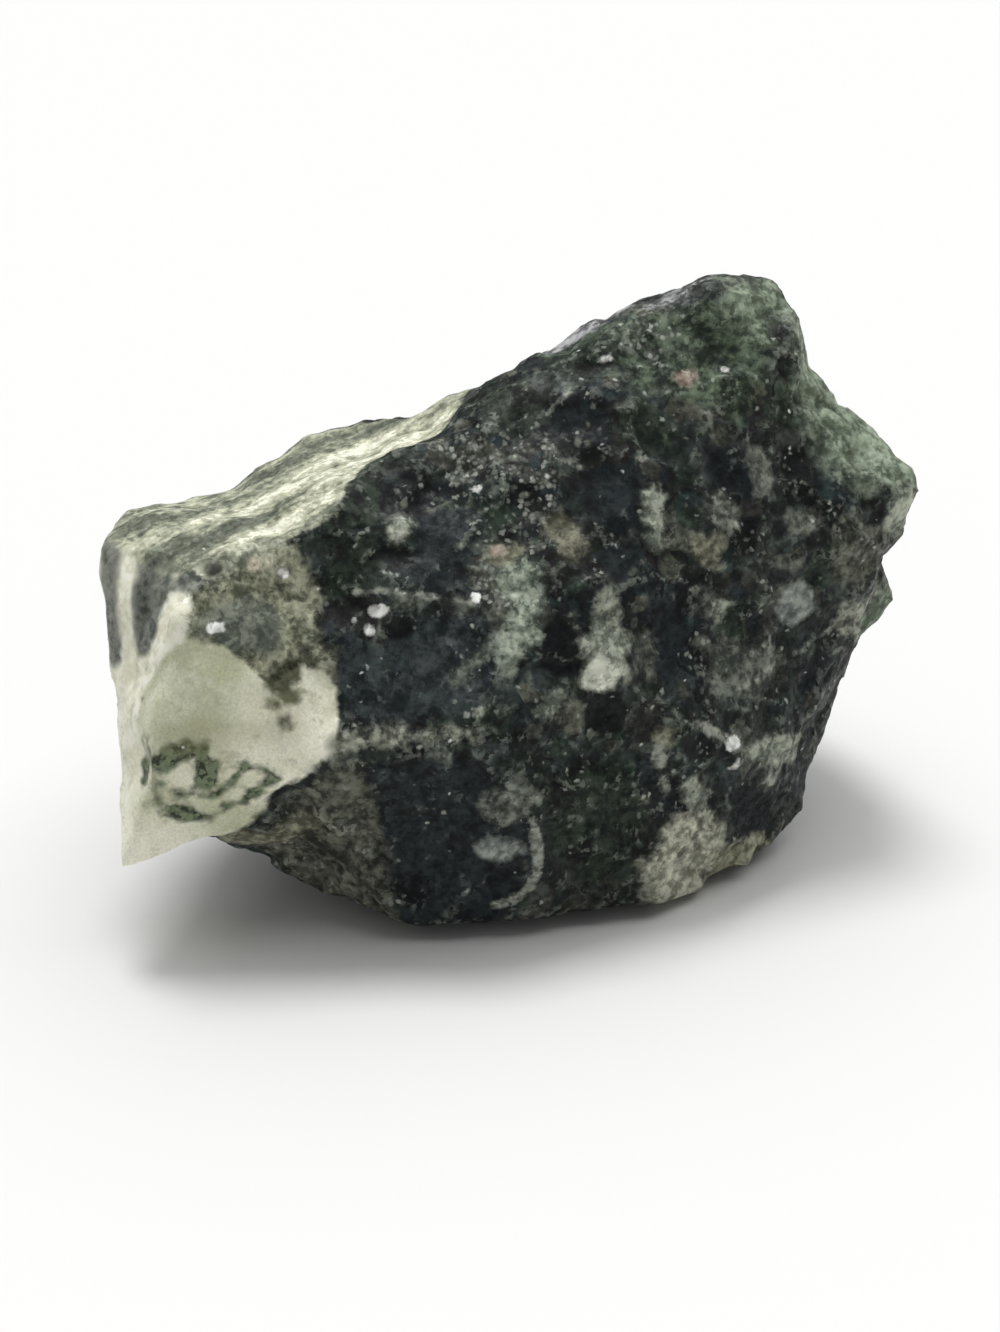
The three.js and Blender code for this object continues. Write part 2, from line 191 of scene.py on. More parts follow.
kinds["brow_cream"] = join(
    patch([(-14, -3, 30), (-9, 0, 31), (-4.5, 2, 32.5), (-5, -1.5, 32.5), (-9.5, -3.5, 31.2),
           (-14, -6.5, 30)], 2.5),
    spot((-24, -4.5, 27.6), 0.9, (1, 0.3, 0.1), 2.6),
    spot((-11, 1.5, 30.4), 1.0, (1, 0.5, 0.2), 1.8),
    spot((-16.5, -4, 29), 0.8, (1, 0.5, 0.2), 2.5),
    band([(-24.5, -9, 27.2), (-20.5, -7, 27.8)], 0.5),
    band([(-20, -11.2, 27.8), (-15, -8.6, 29.2), (-12.6, -7, 30)], 0.6),
)
kinds["back_strip"] = join(
    band([(-28, -2.5, 27.5), (-22, 1.5, 28), (-15.5, 5, 29), (-9.5, 6, 30.5)], 1.5),
    band([(-27, -6, 27.3), (-20, -3, 28.2), (-16.5, -1, 28.8)], 0.7),
    band([(-24, -11, 27.2), (-20, -9.6, 27.8), (-15.5, -7, 29)], 0.8),
    band([(-14, -4.6, 29.8), (-9.5, -2.2, 31)], 0.4),
    spot((-24, -8.7, 27.9), 1.5, (1, 0.4, 0.1), 1.7),
    spot((-25.2, -4.6, 27.7), 1.8, (1, 0.4, 0.1), 1.4),
)
kinds["shelf"] = patch(
    [(-22, -14.5, 26), (-20.5, -13.6, 27), (-16.5, -12, 28.5), (-15, -11.5, 28.5), (-13.5, -12.5, 26.5),
     (-13, -14.5, 23), (-12, -16, 19.5), (-14.5, -16, 20), (-17, -16.5, 20), (-20, -16, 23),
     (-23, -15.5, 24)], 4)
kinds["shelf_blue"] = spot((-18.3, -15.2, 24.3), 1.9, (1, 0, -0.2), 1.5)
kinds["flank"] = patch(
    [(-27.5, -8, 27.5), (-23, -12.5, 27.3), (-22, -14.5, 26), (-24.5, -15.5, 21), (-26, -17, 15),
     (-26.5, -19, 9), (-28.5, -19, 7), (-29, -10, 12), (-29, -3, 18), (-29, -3, 27)], 6)
kinds["cream"] = join(
    patch([(-27, -9.9, 26.4), (-26.1, -10.3, 26.6), (-26.2, -11.3, 24.4), (-26.2, -12.5, 22),
           (-26.3, -13.8, 19), (-27, -13.6, 17.8), (-27.2, -12.2, 20.5), (-26.9, -11.2, 23.5)], 2.5),
    patch([(-23.4, -13.8, 26.1), (-21.6, -14.4, 26.2), (-21.6, -15.2, 25.3), (-22.4, -16, 23.5),
           (-24, -15.6, 21.5), (-25.4, -15.5, 19), (-25, -14.6, 21.5)], 2.5),
    band([(-22.5, -14.5, 26), (-23.4, -15.7, 23.5), (-24.7, -15.5, 21), (-25.6, -15.5, 19),
          (-26, -16, 16)], 0.35),
    band([(-26, -12.8, 20.5), (-26.4, -14.2, 17.5), (-26.3, -16, 14.5), (-26.6, -17.2, 11.5)], 0.8),
    band([(-12.3, -17.8, 16.6), (-14.5, -18.3, 14.3), (-17.3, -17.8, 11.8), (-20, -18, 10.2)], 0.3),
)
kinds["grey"] = join(
    patch([(-25.8, -9.9, 27.3), (-23.5, -12, 27.1), (-22.8, -13.4, 26.4), (-23.4, -14.5, 24.5),
           (-24.3, -14.8, 22.2), (-25.4, -13.2, 21), (-26, -12.4, 22.5), (-25.5, -11.3, 25)], 2.5) + 0.15,
    band([(-28.2, -6, 27.4), (-27.8, -8.6, 26.8), (-27.6, -9.8, 23.5), (-27.7, -11.4, 20.5)], 1.1),
    spot((-22, -13.2, 26.9), 1),
)
# Painted shade: a dark spot inside the small hollow at the shelf's upper corner.
kinds["hollow"] = spot((-20.2, -12.8, 27.4), 0.5, (1, 0.8, 0.1), 1.7)
# Painted shade: grey spots on the flank's rounded upper corner and round the small hollow.
kinds["dusk_shade"] = join(
    spot((-25.2, -12.2, 24.9), 1.0, (0.2, -0.4, -1), 1.5),
    spot((-24.6, -11.2, 27), 0.5, (1, -0.6, 0), 1.6),
    spot((-20.4, -12.6, 27.6), 0.5, (1, 0.8, 0.4), 1.7),
)
kinds["ring"] = join(
    band([(-24.3, -18.8, 16), (-24.5, -18.7, 14.5), (-24.3, -18.7, 13)], 0.65),
    band([(-24.8, -18, 16.6), (-25.3, -17.5, 14.6), (-25, -18, 12.8)], 0.5),
    band([(-24.6, -18.7, 12.9), (-22.8, -18.4, 11.7), (-20.8, -18.3, 11.2), (-19.1, -17.8, 11.8),
          (-17.5, -17.8, 12.9), (-16.3, -18.2, 14.2), (-17, -18.4, 15), (-18.4, -18.4, 15.1),
          (-19.3, -18.3, 14.2), (-20, -18.5, 13.6)], 0.5),
    band([(-24.5, -18.9, 15.6), (-23.4, -18.6, 16.1), (-22.3, -18.4, 16.3), (-21.3, -18.2, 16.3),
          (-20.9, -18.4, 15.4), (-20.6, -18.5, 14.1)], 0.75),
    band([(-24, -18.7, 13.6), (-22.1, -18.6, 13), (-20.4, -18.5, 13.1)], 0.35),
)
kinds["moss"] = join(
    band([(-15, -16, 21.2), (-15.9, -16.5, 20.8), (-15.3, -16.8, 20)], 0.8),
    spot((-16.1, -17.2, 19.5), 0.45),
    spot((-15.5, -17.7, 18.4), 0.35, (0, 0, 1), 1.5),
)
kinds["stain"] = join(
    spot((-15.6, -17.4, 19), 1.6, (0.2, 0, 1), 1.4),
    spot((-21.2, -18.2, 17.3), 1.1, (1, 0, 0), 1.7),
)
kinds["pale"] = join(
    patch([(5.6, -10.7, 24.6), (6.6, -10.3, 25), (7.3, -10.8, 24), (7.5, -11.3, 22.5), (8.2, -12, 21),
           (8, -12.8, 19.3), (6.2, -13.3, 18.4), (4.4, -13.5, 19), (4.9, -12.6, 20.8), (4.4, -12.3, 21.8),
           (5.2, -11.8, 22.4)], 2) - 0.15,
    patch([(1.5, -16, 18), (2.5, -15, 19), (3.5, -14, 19), (3.5, -14.5, 18), (2.5, -15.5, 17.5)], 1.5),
    spot((-7.6, -9.3, 28.8), 0.85, (1, 0, 0.9), 1.7),
    patch([(9, -6, 30), (10, -5.5, 30), (10.5, -5.5, 29.5), (10.5, -7, 27.5), (9.5, -7.5, 27.5),
           (9, -7, 28.5)], 1.5),
    spot((10, -7.5, 27), 0.7, (1, 0, -0.4), 1.3),
    spot((14.4, -7.3, 21.6), 0.6),
    patch([(16.5, -10, 12), (18.5, -8, 12), (21.5, -4.5, 10), (21.5, -5, 7.5), (19.5, -7.5, 9),
           (17, -10, 10.5)], 1.5),
    spot((18.5, -8, 8), 0.7, (1, 0, -1), 1.4),
    patch([(12, -12.5, 10.5), (13, -12, 11), (14, -11, 9), (13.5, -11, 7.5), (12.5, -12, 8)], 1.2),
    spot((27.8, 0.8, 25.5), 1.3, (0.3, 0, 1), 1.3),
)
kinds["pebble"] = join(
    spot((20.3, -4.3, 20.5), 1.5, (0, 0, 1), 1.1),
    spot((-1, -16.6, 8), 1.1, (1, 0, -0.15), 1.6),
)
kinds["dim"] = join(
    band([(0.5, -11.5, 24.5), (-0.5, -13, 23), (-2, -14.5, 21.8), (-4, -15.5, 20.5)], 0.45),
    patch([(8, -11, 21.5), (9.5, -10.5, 21.5), (10, -10.5, 19.5), (9.5, -11.5, 18.5),
           (8, -12.5, 19.5)], 1.5),
    patch([(13, -5, 28.5), (14.5, -4, 29), (16, -4.5, 28.5), (16, -5, 27), (14, -5.5, 27)], 1.5),
    patch([(19.5, -3, 27), (22, -2, 27), (22, -2.5, 25.5), (20.5, -3.5, 25.5)], 1.5),
    spot((13.5, -7.3, 22), 0.9, (1, 0, 0), 1.3),
    spot((-0.5, -17, 11.5), 1.2, (1, 0, -0.5), 1.4),
    patch([(16.5, -2, 32), (18.5, -1, 31), (18.5, -3, 28), (17.5, -3.5, 28.5)], 1.5),
    patch([(13, -8.5, 20), (17.5, -6.5, 18.5), (20, -5, 16.5), (17.5, -7.5, 14.5), (14, -10, 16.5)], 2),
    spot((-7.3, -12.6, 24.8), 0.8, (1, 0, 0), 1.4),
    spot((-4, -12.5, 24.6), 0.6, (1, 0, 0), 1.4),
)
kinds["pale_core"] = join(
    patch([(4.9, -13.5, 19.8), (5.8, -13.2, 20.5), (7, -12.8, 20.4), (7.3, -12.8, 19.5), (6, -13.5, 18.7),
           (4.8, -13.5, 19)], 1.2),
    spot((-7.6, -9.3, 28.8), 0.6, (1, 0, 0.9), 1.9),
)
kinds["bright"] = join(
    spot((15.5, -10.5, 12.6), 0.5, (1, 0, 0.1), 1.5),
    spot((16, -10.5, 10.8), 0.38, (1, 0.2, 0.2), 1.7),
    spot((-9.1, -12.9, 24.4), 0.36, (1, 0.3, 0.1), 1.7),
    spot((-9.8, -13.6, 23.1), 0.36, (0.4, 0, 1), 1.4),
    spot((-11, -13.3, 24), 0.2),
    spot((-2.5, -12, 25), 0.2),
    spot((6.6, 1.4, 36.9), 0.36, (1, 0, 1), 1.6),
    spot((14.9, 1, 36.4), 0.42),
    spot((2.4, -5.5, 30.9), 0.3),
    spot((2.5, -6.5, 30), 0.22),
    spot((-2.5, -6, 30), 0.28),
    spot((-15.5, -12.5, 27), 0.28),
    spot((-20, -15.6, 24.4), 0.24, (1, 0, 0.3), 2.4),
    spot((21.4, -2.6, 26.4), 0.22),
)
kinds["low_cream"] = patch(
    [(8.8, -13, 2), (9, -13, 5), (10.5, -12.7, 7.5), (13.5, -11.3, 8), (14.5, -10.5, 5.5), (14.5, -10, 3),
     (13, -10, 0.6), (11, -11.5, 0.6)], 3)
kinds["foot"] = patch(
    [(14, -10, 4), (16, -9, 3.8), (18, -7, 3), (19.5, -6, 1.8), (16, -8.5, 0.8), (13.5, -10, 0.6)], 2)
kinds["veins"] = join(
    band([(-0.6, -17.3, 12.4), (0.6, -17.3, 11.5), (1.4, -17.3, 10.2)], 0.16),
    band([(1.4, -17.3, 10.2), (1.7, -16.7, 8), (1.7, -16.5, 5.8), (1.1, -16.5, 4.3), (-0.1, -16.7, 3.4),
          (-1.3, -16.7, 3)], 0.34),
    band([(-11, -12.5, 25.5), (-9, -12.3, 25.5), (-7, -12.3, 25.4), (-5, -12.4, 25.1),
          (-2.9, -12.4, 24.8)], 0.12),
    band([(10, -12, 17), (12.5, -12, 15)], 0.2),
    band([(13, -11.7, 14.8), (15.5, -10.6, 12.9)], 0.3),
    spot((10.2, -12.9, 13), 0.6, (0, 0, 1), 1.6),
    spot((10.6, -12.9, 10.6), 0.45, (0, 0, 1), 2),
    band([(16, -8.5, 16), (20, -5, 16.5), (23, -2.5, 17.5)], 0.22),
    band([(15, -8.5, 17.5), (18.5, -6, 18.5)], 0.2),
    band([(-4.8, -3.5, 32.4), (-4.6, -6.5, 30.5), (-3.6, -9.5, 27.5)], 0.08),
    band([(2.5, -1.8, 34.3), (3.5, -1, 35), (4.5, -0.5, 35.5)], 0.14),
    band([(2.2, -3.2, 33.2), (3.3, -4.5, 32), (5, -4.8, 31.2), (7, -4.2, 32), (9, -4.2, 31.7)], 0.1),
    band([(14, -4.5, 29), (16, -5, 27)], 0.12),
    band([(-2.5, -17, 18.5), (-1, -16, 19.5)], 0.2),
)
# Pale along the keel ridge and in a patch at the right: partly a pale vein, partly painted highlight where
# the ridge catches the light.
kinds["keel"] = join(
    band([(-11.8, -17.8, 16.7), (-9.5, -17.8, 17.1), (-7.5, -17.5, 17.3)], 0.6),
    band([(-8, -17.5, 17.2), (-5, -17.5, 17.3), (-2.5, -17.6, 17.2)], 0.3),
    patch([(23, -2.5, 18), (24.5, -2, 19.5), (27, 3.5, 17.5), (26, 2.5, 15.5), (24, -2, 16.5)], 2),
)
kinds["mottle"] = join(
    patch([(-5.5, -3, 32.5), (-1, -2.5, 33.5), (2.5, -2, 34), (3.5, -6.5, 30), (3, -9, 27.5),
           (0.5, -11, 24.5), (-2.5, -12, 24.5), (-3, -8, 28.5), (-4.5, -6.5, 30.5)], 3),
    patch([(7.5, 3.5, 38.5), (10.5, 5, 39.5), (13.5, 5, 40.5), (12.5, 3, 39), (10, 0, 36.5),
           (8, 0.5, 36.5)], 2.5) - 0.4,
)
kinds["black"] = join(
    patch([(3, -12, 23.5), (4.5, -12, 21.5), (4.5, -13, 20.5), (3, -13.5, 19.5), (2, -13.5, 20.5),
           (1.5, -13, 21.5), (2, -12, 22.5)], 2) + 0.2,
    patch([(5, -13.5, 18), (6, -13.5, 18.5), (7.5, -13, 18), (8, -13, 16.5), (7.5, -13.5, 15),
           (6, -13.5, 15), (5, -13.5, 16)], 2),
    patch([(-9, -6, 31), (-7, -5, 31.5), (-5.5, -6, 30.5), (-6, -7.5, 29), (-8, -9, 29.5),
           (-9.3, -8, 30)], 1.5) - 0.2,
    spot((-8.1, -10.2, 27.2), 0.9, (1, 0, -0.4), 1.5),
    patch([(-8.5, -13, 24), (-7.5, -13, 24), (-6.5, -13, 23.5), (-7, -13.5, 22.5),
           (-8.5, -13.5, 22.5)], 1.5),
    spot((-20.2, -12.7, 27.4), 0.5, (1, 0.8, 0.1), 1.9),
    patch([(11.5, -12.5, 14), (13, -11.5, 14), (14.5, -11, 13), (14.5, -11.5, 12),
           (12.5, -12.5, 12.5)], 1.5),
    patch([(10.7, -13, 11), (11.5, -12.5, 11.5), (12.3, -12, 10), (12.3, -12, 7.5), (11, -12.5, 8)], 1.5),
    patch([(19, -1, 31), (21, 0.5, 31), (22, 0, 29.5), (22, -1.5, 28), (20, -2, 28),
           (19, -1.5, 29.5)], 1.5),
    patch([(24, -0.5, 27.8), (25.5, 0, 28), (27, 0.5, 27.3), (27, 0, 26.7), (25, -1, 26.7)], 1.5) + 0.2,
    patch([(16.3, -5.8, 28), (18, -4.5, 27.5), (17.5, -6, 25), (15.5, -7, 25.5)], 1.5),
    spot((2, -3, 33), 0.6, (0, -0.5, 1), 1.6),
)
kinds["deep_blue"] = patch(
    [(3, -1.5, 34.5), (3.5, -1, 35), (5.5, -1, 35.5), (6.5, -1.5, 35), (7, -3.5, 33.5), (6.5, -4.5, 32),
     (5, -4.5, 31.5), (3.5, -4, 32.5)], 2)
kinds["blue_and_low_shade"] = join(
    patch([(5, -5, 31), (6, -4.5, 31.5), (8, -4.5, 31.5), (9, -5.5, 30.5), (9, -7.5, 27.5), (7, -8, 27.5),
           (5.5, -7.5, 28.5), (4.5, -6.5, 30)], 2),
    patch([(6, -8.5, 27), (9, -8, 27.5), (9, -9.5, 25), (7, -10.5, 25), (6, -10, 26)], 1.5),
    patch([(13.5, -3, 32), (15.5, -2, 32), (17, -2.5, 30.5), (17, -3.5, 28.5), (15.5, -4.5, 28),
           (14, -4, 29.5)], 2),
    patch([(-7, -8.5, 29), (-5, -7, 29.5), (-3.5, -7.5, 28.5), (-3, -10.5, 27), (-3, -12, 25),
           (-5, -12.5, 25), (-7, -12, 26), (-7, -9.5, 27.5)], 2.5),
    # The low front face below the keel: dark blue rock, partly darkened as painted shade where it faces
    # down.
    patch([(-10, -18, 15), (-6.5, -17.5, 16), (-2.5, -17.5, 15), (0, -17, 12), (1, -16, 7.5),
           (0.5, -15, 3.5), (-3, -15, 0.5), (-7.5, -15, 0.5), (-9, -16.5, 7.5), (-9.5, -17.5, 12)], 3),
    patch([(15, -10.5, 8.5), (16.5, -9.5, 9), (19, -6.5, 6), (19.5, -6, 3), (17.5, -7.5, 3),
           (15.5, -9.5, 5.5)], 2),
    patch([(9, -8.5, 26), (11.5, -8.5, 23.5), (12.5, -9, 20), (11, -11.5, 17.5), (9.5, -11, 19.5),
           (9.3, -10, 23.5)], 2.5),
)
# The face above the keel: slaty grey rock, partly lightened as painted sheen where the face turns up to the
# light.
kinds["slate_and_sheen"] = patch(
    [(-11.5, -13.5, 23.5), (-9, -14, 22), (-5.5, -12.7, 24.3), (-2.5, -13, 24), (-0.5, -13.5, 22.5),
     (-1, -15.5, 20.5), (-3, -17, 18.5), (-7.5, -17, 18), (-11, -17, 18), (-12, -15.5, 20.5)], 3)
kinds["deep_green"] = join(
    patch([(-13, -10, 29), (-11.5, -7, 31), (-9, -1, 31), (-8.5, -5, 31.5), (-9.5, -9, 29.5),
           (-9, -10.5, 27), (-10.5, -12.5, 25), (-12.5, -12.5, 25.5), (-13, -11.5, 27.5)], 3) + 0.2,
    patch([(-3, 2, 33.5), (-1.5, 2, 34.5), (0.5, 0.5, 35.5), (2.5, -0.5, 35), (2.5, -1.5, 34),
           (2, -2.5, 33.5), (-1, -2.5, 33.5), (-2.5, -2, 33.5)], 2.5) + 0.2,
    patch([(7, -1.5, 35), (9, -1, 35), (11, -2, 33.5), (10.5, -3.5, 32), (8, -4, 32.5), (7, -3, 34)], 2),
    spot((5.5, 2.1, 36.9), 1.7, (1, 0, 0.4), 1.7),
    patch([(2, -16.5, 12.5), (4, -15, 13.5), (7, -14, 13), (9, -13.5, 10.5), (9, -12.5, 5),
           (7.5, -13, 3.5), (4.5, -14, 4), (2.5, -15.5, 7.5)], 2),
)
kinds["green"] = patch(
    [(2, 4, 36), (8, 4, 38.5), (14, 4, 41), (18, 6, 41.5), (18, 2, 37), (16, -1, 33), (9, 0, 35.5)], 3.5)
kinds["light_green"] = join(
    patch([(14.5, 3, 40), (17, 4.5, 41.5), (19.5, 7, 40.5), (20, 5.5, 38.5), (18, 4.5, 38.3),
           (16, 3.5, 38.8)], 2),
    patch([(20, 4, 37.5), (21, 2, 35), (23.5, 0, 30.5), (26.5, -0.3, 28.3), (29.5, 2, 26.5), (28, 6, 28),
           (24, 9, 32), (20.5, 9, 37)], 4),
    spot((27.5, 4, 15.5), 2.2),
    spot((28.5, 1, 25.5), 1.6),
)
kinds["brown"] = join(
    patch([(22.5, -2, 26), (24.5, -1, 26.5), (26.5, -0.5, 24.5), (26.5, 0, 22), (25, -1.5, 20.5),
           (23, -3, 22.5)], 2),
    patch([(2, -15.5, 18), (4.5, -14.5, 18), (5, -14, 16.5), (3.5, -15, 16), (2.5, -15.5, 17)], 1.5),
    patch([(-14.5, -17.5, 13), (-12.5, -18, 15), (-10.5, -18, 15.5), (-9.5, -17.5, 12), (-9, -16.5, 7.5),
           (-8, -15.5, 2.5), (-10, -14, 0.5), (-14, -13, 2.5), (-18, -13.5, 6), (-17, -16, 10)], 3),
)
kinds["warm"] = join(
    patch([(2.5, -7.5, 29), (3.5, -7, 29.5), (4.5, -7.5, 28.5), (5, -9, 27.5), (4, -9.5, 26.5),
           (2.5, -8.5, 27.5), (2.3, -8, 28.5)], 1.5),
    patch([(12.5, -6.5, 27), (14, -6, 27), (14.5, -5.5, 26), (14, -6.5, 24.5), (13, -7, 25),
           (12.5, -7, 26)], 1.5),
    spot((10.4, -12.7, 14.4), 0.7),
    spot((-0.5, -9.5, 27), 0.7, (1, 0, 0.2), 1.4),
    band([(-14.5, -16.5, 9.5), (-17.5, -15.8, 8), (-19.5, -15.5, 7.6)], 1.3),
)
kinds["pink"] = join(
    spot((12, 0.5, 36), 0.65, (1, 0, 0.3), 1.3),
    spot((6, -13.5, 4), 0.4),
    spot((-17.5, -12.8, 27.8), 0.4, (1, 0.3, 0), 1.6),
    spot((-0.8, -9.4, 27.3), 0.35),
)
kinds["fibrous"] = patch(
    [(-0.5, -9.5, 26.5), (2, -9.5, 26.5), (2, -11, 25), (1.5, -12.5, 22), (0, -15, 21), (-1, -16, 20),
     (-1.5, -14.5, 21.5), (0, -13, 23.5), (-0.5, -11, 25)], 2)
# Whitish along the top edge and on the crown: partly pale frosty rock, partly painted highlight where the
# top edge catches the light.
kinds["frost_and_rim_highlight"] = join(
    band([(3, 5.5, 36.2), (6, 6, 38.2), (9, 6.5, 39.9)], 0.8),
    patch([(9, 5.5, 39.6), (11, 8, 40.6), (13.5, 7, 41), (12.5, 4.8, 39.8), (10, 4.6, 39.3)], 2),
)

# Broken surfaces: each point belongs to its nearest seed, and each seed has a small tilted plane of its own.
# The seeds fill a box a little larger than the stone, and slow noise bends the borders between them.

RANDOM_START = 11
SEED_BOX_LOW = np.array((-30, -21, -1))
SEED_BOX_HIGH = np.array((31, 22, 42))
SEEDS_FELT = 4
BEND_SIZE = 2.6
LEAST_WEIGHT = 0.001

rng = np.random.default_rng(RANDOM_START)
bend = np.array([noise_of(places + shift, BEND_SIZE) for shift in (0, 31, 67)]).T


def chipped(spacing, lean, lift, bend_by, edge):
    """Tilted planes round scattered seeds.

    Gives each point's height on them, its own seed, and how far away that seed's border is.
    """
    low = SEED_BOX_LOW - spacing
    high = SEED_BOX_HIGH + spacing
    seeds = rng.uniform(low, high, (int(np.prod(high - low) / spacing ** 3), 3))
    leans = rng.normal(0, lean, seeds.shape)
    lifts = rng.normal(0, lift, len(seeds))
    tree = kdtree.KDTree(len(seeds))
    for index, seed in enumerate(seeds):
        tree.insert(seed, index)
    tree.balance()
    bent = places + bend_by * bend
    found = [tree.find_n(place, SEEDS_FELT) for place in bent]
    owners = np.array([[near[1] for near in nears] for nears in found])
    away = np.array([[near[2] for near in nears] for nears in found])
    heights = ((bent[:, None] - seeds[owners]) * leans[owners]).sum(2) + lifts[owners]
    weights = np.exp((away[:, :1] - away) / edge)
    weights -= weights[:, -1:]
    height = (weights * heights).sum(1) / np.maximum(weights.sum(1), LEAST_WEIGHT)
    return height, owners[:, 0], away[:, 1] - away[:, 0]


large_chips, owner, gap = chipped(spacing=3.6, lean=0.075, lift=0.05, bend_by=0.9, edge=0.25)
small_chips, _, _ = chipped(spacing=1.5, lean=0.07, lift=0.012, bend_by=0.5, edge=0.1)

# The relief in mm: chips, grooves along the streaks, grain, and the proud and sunken kinds of rock. It is
# rougher where the rock breaks like stone, calmer where it is waxy, slaty or streaked, and none at the foot.

STREAK = np.array([0.83, 0.50, 0.22])
STREAK /= np.linalg.norm(STREAK)
STREAK_PULL = 0.86
GRAIN_HEIGHT = 0.03
GROOVE_HEIGHT = 0.028
WAXY_HEIGHT = 0.04
RING_HEIGHT = 0.06
CREST_ROUNDS = 6

calm = fade(kinds["lobe"], -0.4, 0.6)
streaked = fade(kinds["plateau"], -0.6, 0.6)
slaty = fade(join(kinds["slate_and_sheen"], kinds["blue_and_low_shade"]), -0.5, 0.5)
flaky = fade(kinds["flank"], -0.6, 0.6)
rough = (1 - 0.85 * calm) * (1 - 0.55 * streaked) * (1 - 0.5 * slaty) * (1 - 0.75 * flaky)

# Most of the distance along the streaks is taken out, which draws the grooves' noise out along them.

stretched = places - np.outer(places @ STREAK * STREAK_PULL, STREAK)
grooves = noise_of(stretched, 0.75, 2) + 0.5 * noise_of(stretched + 9, 2.0)
grain = noise_of(places, 0.8, 3)

relief = rough * (large_chips + small_chips + GRAIN_HEIGHT * grain)
relief += streaked * GROOVE_HEIGHT * grooves
relief += calm * WAXY_HEIGHT * noise_of(places + 17, 2.4, 2)
relief += RING_HEIGHT * fade(kinds["ring"], -0.3, 0.3) * (0.5 + grain)
for name, height, outside, inside in (
        ("pale", 0.07, -0.25, 0.35), ("bright", 0.06, -0.1, 0.25), ("black", -0.1, -0.3, 0.5),
        ("low_cream", 0.06, -0.3, 0.4), ("keel", 0.05, -0.3, 0.4)):
    relief += height * fade(kinds[name], outside, inside)
relief *= fade(places[:, 2], 0.05, 1.2)

normals = read_mesh("normal")
moved = places + relief[:, None] * normals
moved[:, 2] = np.maximum(moved[:, 2], 0)
write_places(moved)

# The mesh keeps how deep each point lies in each kind of rock, how far it stands out from its surroundings,
# the tone of its chip, and how far that chip's border is.

normals = read_mesh("normal")
kinds["crest"] = ((moved - smoothed(moved, CREST_ROUNDS)) * normals).sum(1)
kinds["tone"] = rng.uniform(0, 1, owner.max() + 1)[owner]
kinds["gap"] = gap
for name, values in kinds.items():
    stone_mesh.attributes.new(name, "FLOAT", "POINT").data.foreach_set("value", values)

stone_mesh.transform(Matrix.Scale(MM, 4))
stone_mesh.shade_smooth()
stone = bpy.data.objects.new("stone_surface", stone_mesh)
bpy.context.scene.collection.objects.link(stone)
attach(stone, "root")
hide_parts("stone")

# The rock's one material. Its colours are laid over each other where the mesh says that each kind lies.


def rgb(red, green, blue_and_low_shade):
    """A colour as the eye sees it, 0 to 255, as the shader wants it."""
    seen = [value / 255 for value in (red, green, blue_and_low_shade)]
    linear = [value / 12.92 if value < 0.04045 else ((value + 0.055) / 1.055) ** 2.4 for value in seen]
    return (*linear, 1)


def connect(nodes_of, socket, value):
    """Links a node's output to the socket, or writes a plain value there."""
    if isinstance(value, bpy.types.NodeSocket):
        nodes_of.links.new(value, socket)
    else:
        socket.default_value = value


def calculate(nodes_of, operation, *values):
    """A sum, product or other plain calculation."""
    node = nodes_of.nodes.new("ShaderNodeMath")
    node.operation = operation
    for socket, value in zip(node.inputs, values):
        connect(nodes_of, socket, value)
    return node.outputs[0]


def blend_of(nodes_of, middle, *parts):
    """A middle value plus each part's distance from one half, times its weight."""
    total = middle - sum(weight for _, weight in parts) / 2
    for value, weight in parts:
        total = calculate(nodes_of, "MULTIPLY_ADD", value, weight, total)
    return total


def ramp(nodes_of, value, start, end, low=0.0, high=1.0):
    """A smooth step: low where the value is at start, high where it is at end."""
    node = nodes_of.nodes.new("ShaderNodeMapRange")
    node.interpolation_type = "SMOOTHSTEP"
    limits = {"Value": value, "From Min": start, "From Max": end, "To Min": low, "To Max": high}
    for name, limit in limits.items():
        connect(nodes_of, node.inputs[name], limit)
    return node.outputs["Result"]


def lay(nodes_of, share, below, above, way="MIX"):
    """A colour laid over another by a share."""
    node = nodes_of.nodes.new("ShaderNodeMix")
    node.data_type = "RGBA"
    node.blend_type = way
    connect(nodes_of, node.inputs[0], share)
    connect(nodes_of, node.inputs[6], below)
    connect(nodes_of, node.inputs[7], above)
    return node.outputs[2]


def moved_by(nodes_of, vector, shift):
    """A place moved by a shift, also so that two noises of one size differ."""
    node = nodes_of.nodes.new("ShaderNodeVectorMath")
    node.operation = "ADD"
    connect(nodes_of, node.inputs[0], vector)
    connect(nodes_of, node.inputs[1], shift)
    return node.outputs[0]


def scaled_by(nodes_of, vector, scale):
    """A place or direction times a number."""
    node = nodes_of.nodes.new("ShaderNodeVectorMath")
    node.operation = "SCALE"
    connect(nodes_of, node.inputs[0], vector)
    connect(nodes_of, node.inputs["Scale"], scale)
    return node.outputs[0]


def cloud(nodes_of, place, size, detail=2.0, harshness=0.5, output="Fac"):
    """Noise whose lumps are about this size in mm."""
    node = nodes_of.nodes.new("ShaderNodeTexNoise")
    connect(nodes_of, node.inputs["Vector"], place)
    if isinstance(size, bpy.types.NodeSocket):
        size = calculate(nodes_of, "DIVIDE", 1.0, size)
        connect(nodes_of, node.inputs["Scale"], size)
    else:
        node.inputs["Scale"].default_value = 1 / size
    node.inputs["Detail"].default_value = detail
    node.inputs["Roughness"].default_value = harshness
    return node.outputs[output]


